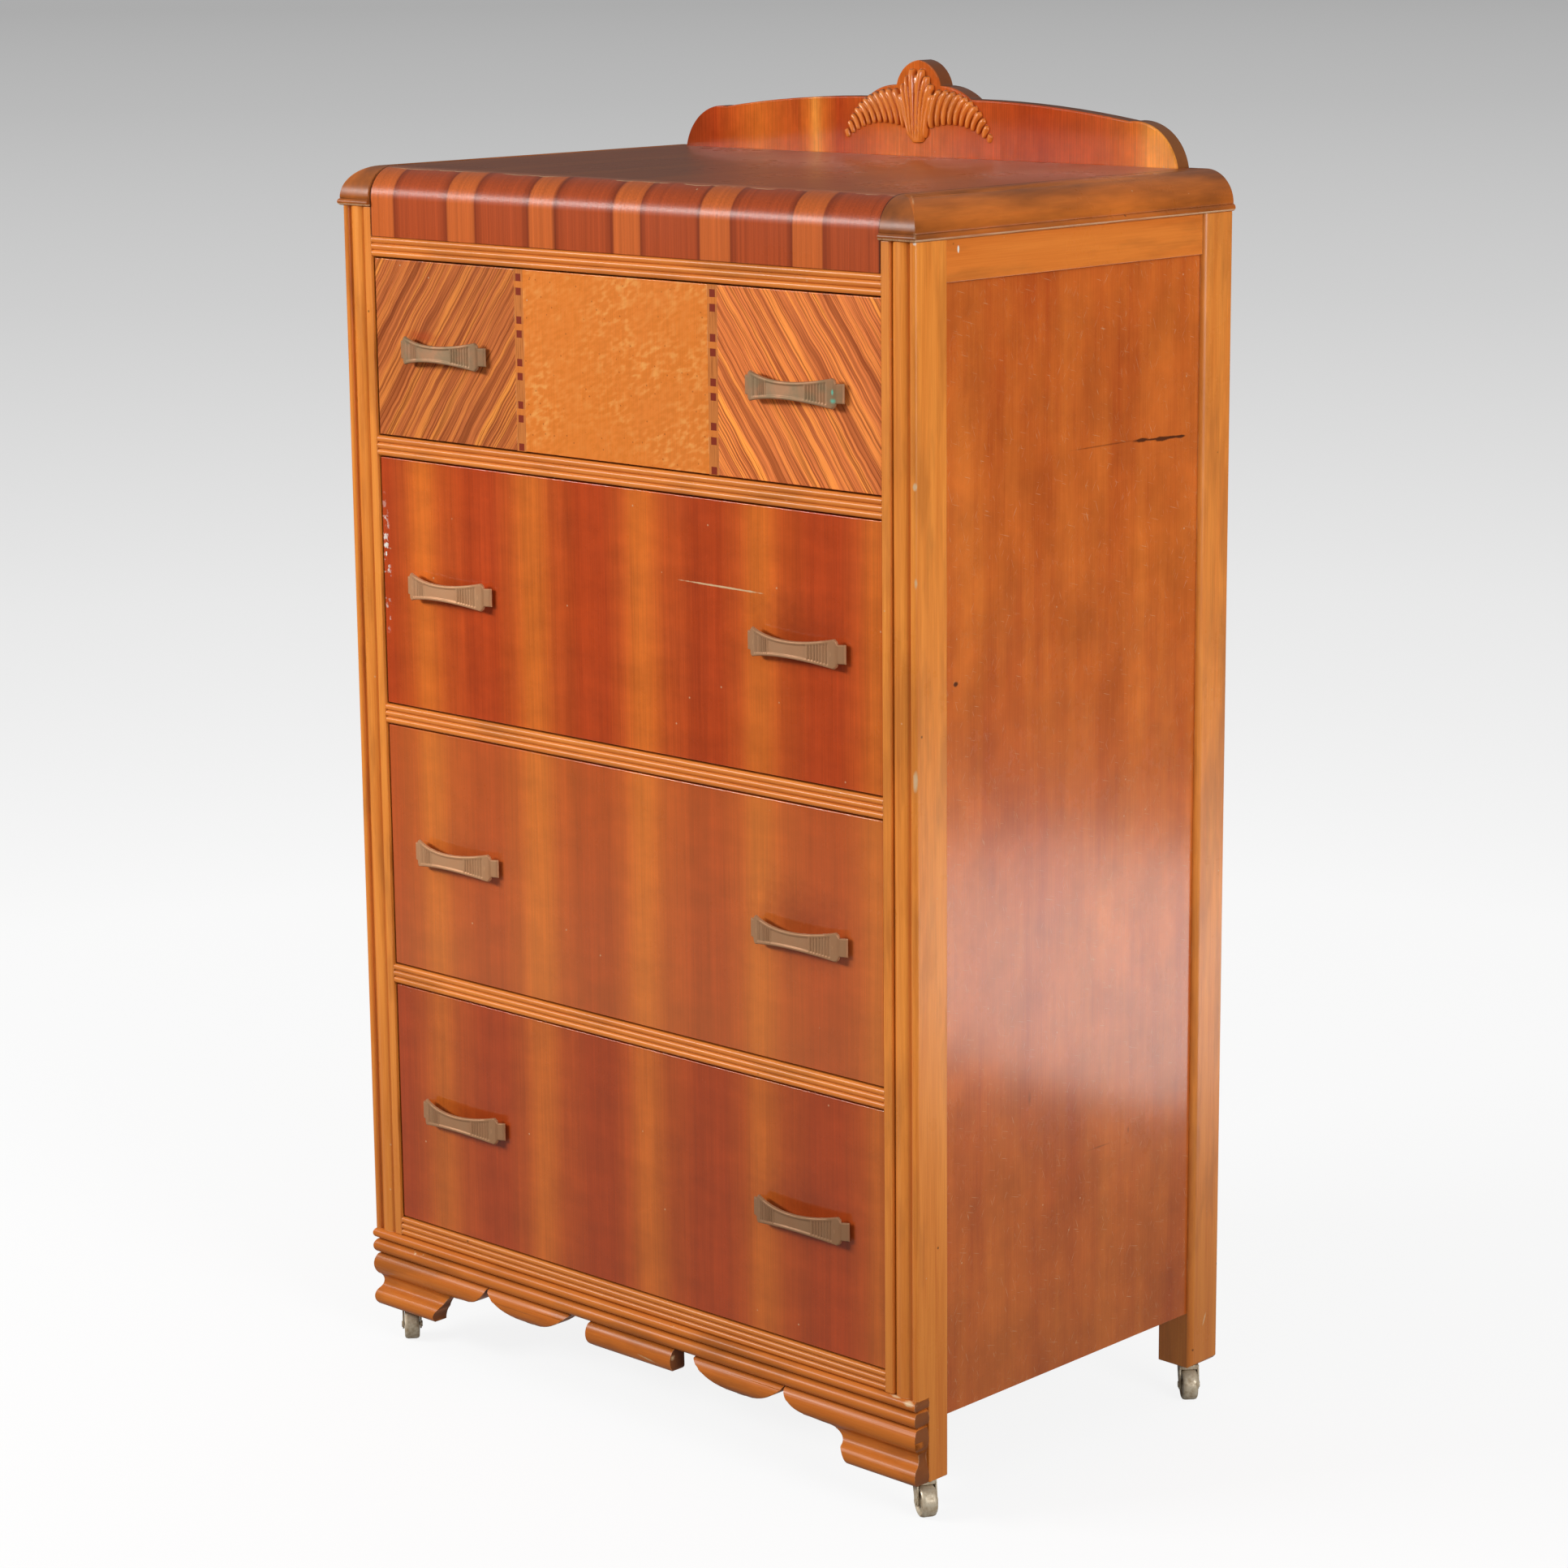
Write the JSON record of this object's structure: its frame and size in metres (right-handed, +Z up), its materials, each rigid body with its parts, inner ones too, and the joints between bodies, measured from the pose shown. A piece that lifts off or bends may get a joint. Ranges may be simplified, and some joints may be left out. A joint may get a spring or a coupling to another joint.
{
  "type": "chest of drawers",
  "caption": "Tall waterfall chest of drawers on casters, with a rolled front edge, reeded posts, arched metal pulls and a low carved backboard; the drawers slide out to hold clothes.",
  "frame": {"origin": "on the floor, under the middle of the chest's overall box", "axes": "+Z up, +X to the right seen from the front, +Y to the back; the drawers open towards -Y"},
  "size_m": [0.7717, 0.474, 1.3285],
  "materials": {
    "amber_wood": "glossy amber lacquer",
    "walnut_veneer": "glossy red-brown lacquer",
    "zebra_veneer": "glossy lacquer",
    "top_veneer": "worn glossy lacquer",
    "inlay_wood": "glossy lacquer",
    "inner_wood": "bare wood",
    "plywood": "bare plywood",
    "brass": "antique bronze, worn",
    "steel": "dull worn steel"
  },
  "bodies": {
    "carcass": {"front_post_left": "amber_wood", "front_post_right": "amber_wood", "rear_post_left": "amber_wood", "rear_post_right": "amber_wood", "side_panel_left": "walnut_veneer", "side_panel_right": "walnut_veneer", "side_rails": "amber_wood", "top_panel": "top_veneer", "top_moulding_left": "amber_wood", "top_moulding_right": "amber_wood", "backboard": "walnut_veneer", "carved_ornament": "amber_wood", "front_rail_top": "amber_wood", "drawer_rail_1": "amber_wood", "drawer_rail_2": "amber_wood", "drawer_rail_3": "amber_wood", "front_rail_bottom": "amber_wood", "base_moulding": "amber_wood", "back_panel": "plywood", "rear_rails": "inner_wood", "drawer_runners": "inner_wood", "centre_guides": "inner_wood", "caster_sockets": "steel"},
    "drawer_1": {"drawer_1_front": "zebra_veneer", "drawer_1_sides": "inner_wood", "drawer_1_back": "inner_wood", "drawer_1_bottom": "plywood", "drawer_1_guide_strips": "inner_wood", "drawer_1_pulls": "brass", "drawer_1_pull_bolts": "steel", "drawer_1_inlay": "inlay_wood"},
    "drawer_2": {"drawer_2_front": "walnut_veneer", "drawer_2_sides": "inner_wood", "drawer_2_back": "inner_wood", "drawer_2_bottom": "plywood", "drawer_2_guide_strips": "inner_wood", "drawer_2_pulls": "brass", "drawer_2_pull_bolts": "steel"},
    "drawer_3": {"drawer_3_front": "walnut_veneer", "drawer_3_sides": "inner_wood", "drawer_3_back": "inner_wood", "drawer_3_bottom": "plywood", "drawer_3_guide_strips": "inner_wood", "drawer_3_pulls": "brass", "drawer_3_pull_bolts": "steel"},
    "drawer_4": {"drawer_4_front": "walnut_veneer", "drawer_4_sides": "inner_wood", "drawer_4_back": "inner_wood", "drawer_4_bottom": "plywood", "drawer_4_guide_strips": "inner_wood", "drawer_4_pulls": "brass", "drawer_4_pull_bolts": "steel"},
    "caster_fork_front_left": {"caster_fork_front_left": "steel"},
    "caster_wheel_front_left": {"caster_wheel_front_left": "steel"},
    "caster_fork_front_right": {"caster_fork_front_right": "steel"},
    "caster_wheel_front_right": {"caster_wheel_front_right": "steel"},
    "caster_fork_rear_left": {"caster_fork_rear_left": "steel"},
    "caster_wheel_rear_left": {"caster_wheel_rear_left": "steel"},
    "caster_fork_rear_right": {"caster_fork_rear_right": "steel"},
    "caster_wheel_rear_right": {"caster_wheel_rear_right": "steel"}
  },
  "joints": [
    {"name": "drawer_1_slide", "type": "slide", "parent": "carcass", "child": "drawer_1", "axis": [0, -1, 0], "range_m": [0, 0.3]},
    {"name": "drawer_2_slide", "type": "slide", "parent": "carcass", "child": "drawer_2", "axis": [0, -1, 0], "range_m": [0, 0.3]},
    {"name": "drawer_3_slide", "type": "slide", "parent": "carcass", "child": "drawer_3", "axis": [0, -1, 0], "range_m": [0, 0.3]},
    {"name": "drawer_4_slide", "type": "slide", "parent": "carcass", "child": "drawer_4", "axis": [0, -1, 0], "range_m": [0, 0.3]},
    {"name": "caster_swivel_front_left", "type": "hinge", "parent": "carcass", "child": "caster_fork_front_left", "pos_m": [-0.3605, -0.191, 0], "axis": [0, 0, 1], "continuous": true},
    {"name": "caster_roll_front_left", "type": "hinge", "parent": "caster_fork_front_left", "child": "caster_wheel_front_left", "pos_m": [-0.35172, -0.19918, 0.0156], "axis": [0.682, 0.7314, 0], "continuous": true},
    {"name": "caster_swivel_front_right", "type": "hinge", "parent": "carcass", "child": "caster_fork_front_right", "pos_m": [0.3605, -0.191, 0], "axis": [0, 0, 1], "continuous": true},
    {"name": "caster_roll_front_right", "type": "hinge", "parent": "caster_fork_front_right", "child": "caster_wheel_front_right", "pos_m": [0.37079, -0.19718, 0.0156], "axis": [0.515, 0.8572, 0], "continuous": true},
    {"name": "caster_swivel_rear_left", "type": "hinge", "parent": "carcass", "child": "caster_fork_rear_left", "pos_m": [-0.3605, 0.216, 0], "axis": [0, 0, 1], "continuous": true},
    {"name": "caster_roll_rear_left", "type": "hinge", "parent": "caster_fork_rear_left", "child": "caster_wheel_rear_left", "pos_m": [-0.35172, 0.20782, 0.0156], "axis": [0.682, 0.7314, 0], "continuous": true},
    {"name": "caster_swivel_rear_right", "type": "hinge", "parent": "carcass", "child": "caster_fork_rear_right", "pos_m": [0.3605, 0.216, 0], "axis": [0, 0, 1], "continuous": true},
    {"name": "caster_roll_rear_right", "type": "hinge", "parent": "caster_fork_rear_right", "child": "caster_wheel_rear_right", "pos_m": [0.36928, 0.20782, 0.0156], "axis": [0.682, 0.7314, 0], "continuous": true}
  ]
}
